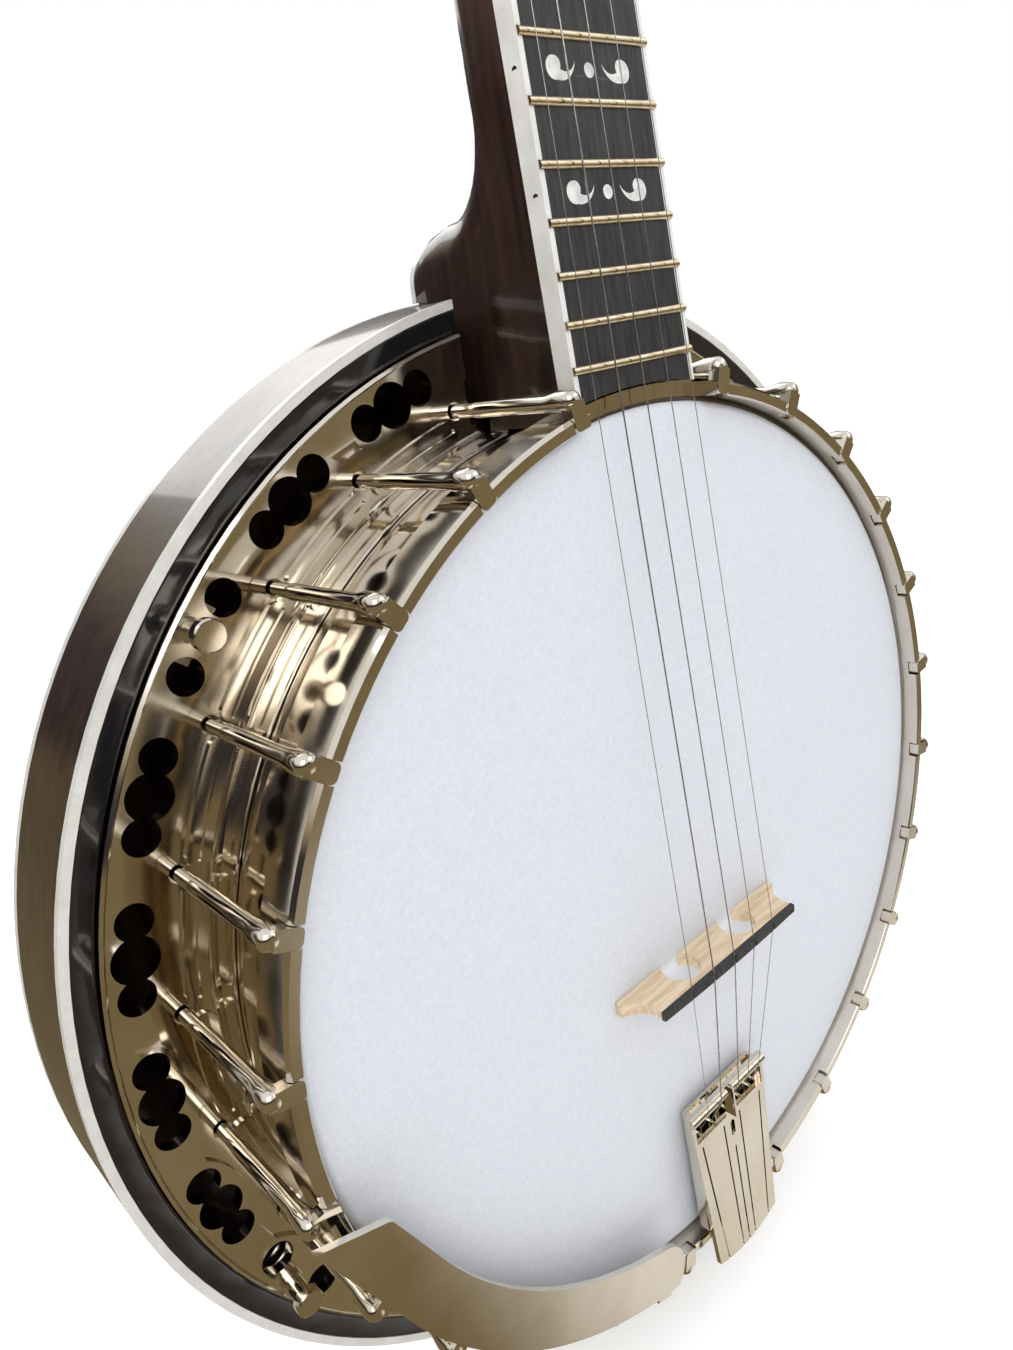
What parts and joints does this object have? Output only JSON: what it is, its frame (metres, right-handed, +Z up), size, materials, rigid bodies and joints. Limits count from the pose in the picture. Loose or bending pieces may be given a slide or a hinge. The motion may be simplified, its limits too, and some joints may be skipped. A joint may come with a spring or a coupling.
{
  "type": "five-string resonator banjo",
  "caption": "Five-string banjo with a drum pot, tension hooks, pierced flange, removable wooden resonator, fretted neck, geared tuners, tailpiece and armrest.",
  "frame": {"origin": "bottom of the resonator's wall at the middle of its depth, where a stand carries the banjo", "axes": "+Z up along the neck; -Y out of the drum head, towards the audience; +X to the viewer's right, the fifth string on the -X side"},
  "size_m": [0.36, 0.128, 0.9735],
  "materials": {
    "nickel": "polished",
    "steel": "satin",
    "fret_wire": "polished",
    "brass": "satin",
    "head_film": "frosted",
    "rim_wood": "satin",
    "dark_wood": "gloss",
    "black_lacquer": "gloss",
    "ivory": "gloss",
    "ebony": "satin",
    "pearl": "gloss",
    "black": "matte",
    "bone": "satin",
    "maple": "satin"
  },
  "bodies": {
    "banjo": {"armrest": "nickel", "armrest_clips": "nickel", "armrest_screws": "nickel", "board_binding": "ivory", "bridge": "maple", "bridge_top": "ebony", "coordinator_rods": "steel", "cover_screws": "nickel", "drum_head": "head_film", "fifth_bushing": "nickel", "fifth_nut": "bone", "flange": "nickel", "flesh_hoop": "brass", "fretboard": "ebony", "frets": "fret_wire", "headstock_overlay": "black_lacquer", "heel_cap": "ivory", "hook_nuts": "nickel", "inlays": "pearl", "lag_bolts": "steel", "neck": "dark_wood", "nut": "bone", "rim_shell": "rim_wood", "side_dots": "black", "string_fifth": "steel", "string_first": "steel", "string_fourth": "steel", "string_second": "steel", "string_third": "steel", "tail_bolts": "steel", "tail_hanger": "nickel", "tailpiece_base": "nickel", "tailpiece_cover": "nickel", "tension_hooks": "nickel", "tension_hoop": "nickel", "tone_ring": "nickel", "truss_rod": "steel", "truss_rod_cover": "black_lacquer", "tuner_bushings": "nickel", "tuner_housings": "nickel"},
    "resonator": {"resonator_wall": "dark_wood", "resonator_back": "dark_wood", "lip_ring": "black_lacquer", "resonator_binding": "ivory", "resonator_lugs": "steel", "lug_screws": "steel"},
    "thumb_screw_1": {"thumb_screw_1": "nickel"},
    "thumb_screw_2": {"thumb_screw_2": "nickel"},
    "thumb_screw_3": {"thumb_screw_3": "nickel"},
    "thumb_screw_4": {"thumb_screw_4": "nickel"},
    "tuner_post_first": {"tuner_post_first": "nickel"},
    "tuner_knob_first": {"tuner_knob_first": "pearl"},
    "tuner_post_second": {"tuner_post_second": "nickel"},
    "tuner_knob_second": {"tuner_knob_second": "pearl"},
    "tuner_post_third": {"tuner_post_third": "nickel"},
    "tuner_knob_third": {"tuner_knob_third": "pearl"},
    "tuner_post_fourth": {"tuner_post_fourth": "nickel"},
    "tuner_knob_fourth": {"tuner_knob_fourth": "pearl"},
    "fifth_peg": {"fifth_peg": "pearl"},
    "tailpiece_screw": {"tailpiece_screw": "nickel"}
  },
  "joints": [
    {"name": "resonator_off", "type": "slide", "parent": "banjo", "child": "resonator", "axis": [0, 1, 0], "range_m": [0, 0.1]},
    {"name": "thumb_screw_1_turn", "type": "hinge", "parent": "banjo", "child": "thumb_screw_1", "pos_m": [-0.12244, -0.024, 0.29209], "axis": [0, 1, 0], "continuous": true},
    {"name": "thumb_screw_2_turn", "type": "hinge", "parent": "banjo", "child": "thumb_screw_2", "pos_m": [-0.14494, -0.024, 0.09908], "axis": [0, 1, 0], "continuous": true},
    {"name": "thumb_screw_3_turn", "type": "hinge", "parent": "banjo", "child": "thumb_screw_3", "pos_m": [0.12244, -0.024, 0.29209], "axis": [0, 1, 0], "continuous": true},
    {"name": "thumb_screw_4_turn", "type": "hinge", "parent": "banjo", "child": "thumb_screw_4", "pos_m": [0.14494, -0.024, 0.09908], "axis": [0, 1, 0], "continuous": true},
    {"name": "first_knob_turn", "type": "hinge", "parent": "banjo", "child": "tuner_knob_first", "pos_m": [0.02295, 0.03015, 0.8545], "axis": [0, 0.9568, -0.2907], "continuous": true},
    {"name": "first_post_turn", "type": "hinge", "parent": "banjo", "child": "tuner_post_first", "pos_m": [0.02295, -0.00812, 0.86613], "axis": [0, 0.9568, -0.2907], "continuous": true},
    {"name": "second_knob_turn", "type": "hinge", "parent": "banjo", "child": "tuner_knob_second", "pos_m": [0.02495, 0.04701, 0.91], "axis": [0, 0.9568, -0.2907], "continuous": true},
    {"name": "second_post_turn", "type": "hinge", "parent": "banjo", "child": "tuner_post_second", "pos_m": [0.02495, 0.00874, 0.92163], "axis": [0, 0.9568, -0.2907], "continuous": true},
    {"name": "third_knob_turn", "type": "hinge", "parent": "banjo", "child": "tuner_knob_third", "pos_m": [-0.02105, 0.04701, 0.91], "axis": [0, 0.9568, -0.2907], "continuous": true},
    {"name": "third_post_turn", "type": "hinge", "parent": "banjo", "child": "tuner_post_third", "pos_m": [-0.02105, 0.00874, 0.92163], "axis": [0, 0.9568, -0.2907], "continuous": true},
    {"name": "fourth_knob_turn", "type": "hinge", "parent": "banjo", "child": "tuner_knob_fourth", "pos_m": [-0.01905, 0.03015, 0.8545], "axis": [0, 0.9568, -0.2907], "continuous": true},
    {"name": "fourth_post_turn", "type": "hinge", "parent": "banjo", "child": "tuner_post_fourth", "pos_m": [-0.01905, -0.00812, 0.86613], "axis": [0, 0.9568, -0.2907], "continuous": true},
    {"name": "fifth_peg_turn", "type": "hinge", "parent": "banjo", "child": "fifth_peg", "pos_m": [-0.02991, -0.02429, 0.65898], "axis": [1, 0, 0], "continuous": true},
    {"name": "tailpiece_screw_turn", "type": "hinge", "parent": "banjo", "child": "tailpiece_screw", "pos_m": [0, -0.054, 0.0244], "axis": [0, 1, 0], "continuous": true}
  ],
  "couplings": [
    {"joint": "first_post_turn", "follows": "first_knob_turn", "ratio": 0.25},
    {"joint": "second_post_turn", "follows": "second_knob_turn", "ratio": 0.25},
    {"joint": "third_post_turn", "follows": "third_knob_turn", "ratio": 0.25},
    {"joint": "fourth_post_turn", "follows": "fourth_knob_turn", "ratio": 0.25}
  ]
}
